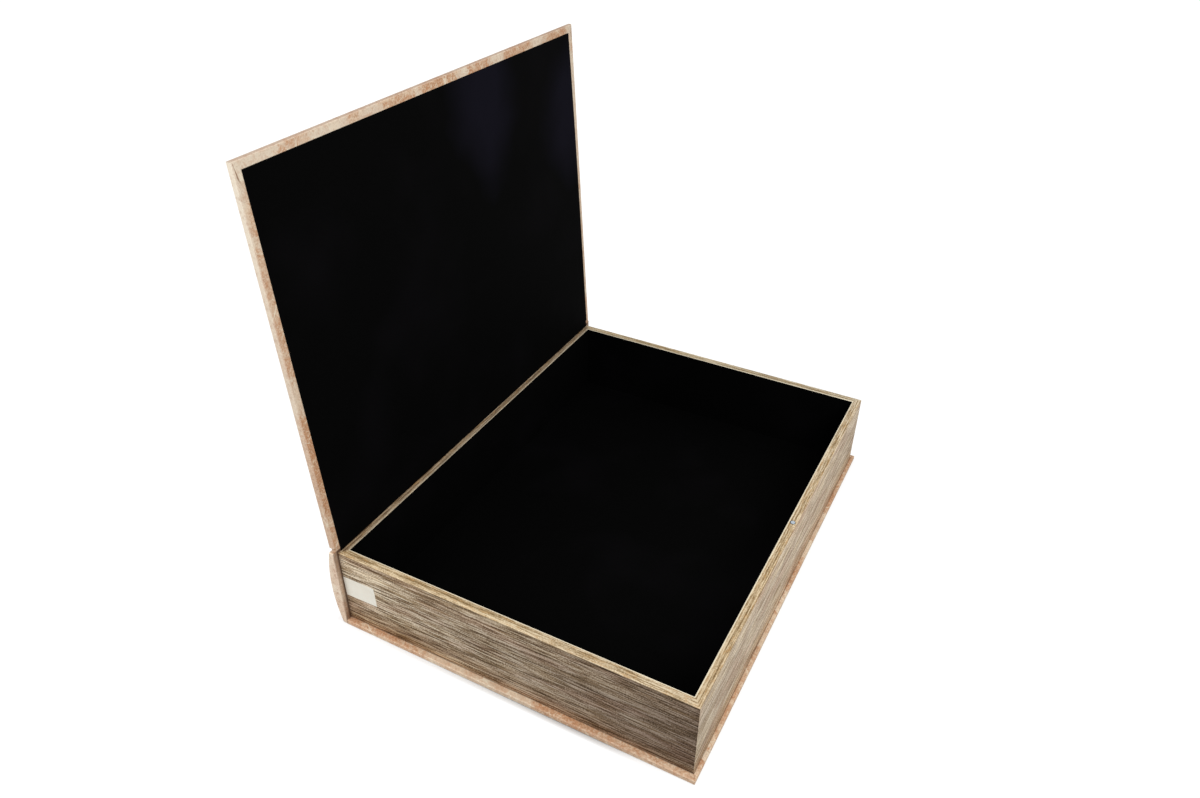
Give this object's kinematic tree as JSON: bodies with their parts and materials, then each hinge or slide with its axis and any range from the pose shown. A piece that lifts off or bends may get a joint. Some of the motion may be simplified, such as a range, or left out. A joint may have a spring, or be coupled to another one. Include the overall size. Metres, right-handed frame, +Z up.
{
  "type": "book box",
  "caption": "Storage box in the form of a large book, with a page-look tray, a bowed spine and a hinged lid that a magnet in the rim holds shut.",
  "frame": {"origin": "on the resting face of the back cover, under the middle of the tray", "axes": "+Z up; +X from the spine to the fore edge; +Y from tail to head, along the spine"},
  "size_m": [0.2713, 0.3406, 0.3174],
  "materials": {
    "cover_board": "plain fibreboard",
    "cover_sheet": "matt, mottled like parchment",
    "wall_board": "plain fibreboard",
    "page_paper": "matt, with fine lines like page edges",
    "black_lining": "matt black",
    "magnet": "bright plating",
    "keeper_steel": "plain",
    "label_paper": "matt white, bare"
  },
  "bodies": {
    "box": {"back_board": "cover_board", "spine_board": "cover_board", "back_cover_wrap": "cover_sheet", "spine_wrap": "cover_sheet", "hinge_cloth": "cover_sheet", "tray_floor": "wall_board", "tail_wall": "wall_board", "head_wall": "wall_board", "fore_edge_wall": "wall_board", "spine_wall": "wall_board", "tail_page_paper": "page_paper", "head_page_paper": "page_paper", "fore_edge_page_paper": "page_paper", "spine_rim_paper": "page_paper", "floor_lining": "black_lining", "tail_lining": "black_lining", "head_lining": "black_lining", "fore_edge_lining": "black_lining", "spine_wall_lining": "black_lining", "hinge_lining": "black_lining", "rim_magnet": "magnet", "blank_label": "label_paper"},
    "lid": {"lid_board": "cover_board", "lid_cover_wrap": "cover_sheet", "lid_lining": "black_lining", "lid_keeper": "keeper_steel"}
  },
  "joints": [
    {"name": "lid_hinge", "type": "hinge", "parent": "box", "child": "lid", "pos_m": [-0.12695, 0, 0.0643], "axis": [0, 1, 0], "range_deg": [0, 93.3], "deforming": ["hinge_cloth", "hinge_lining"]}
  ]
}
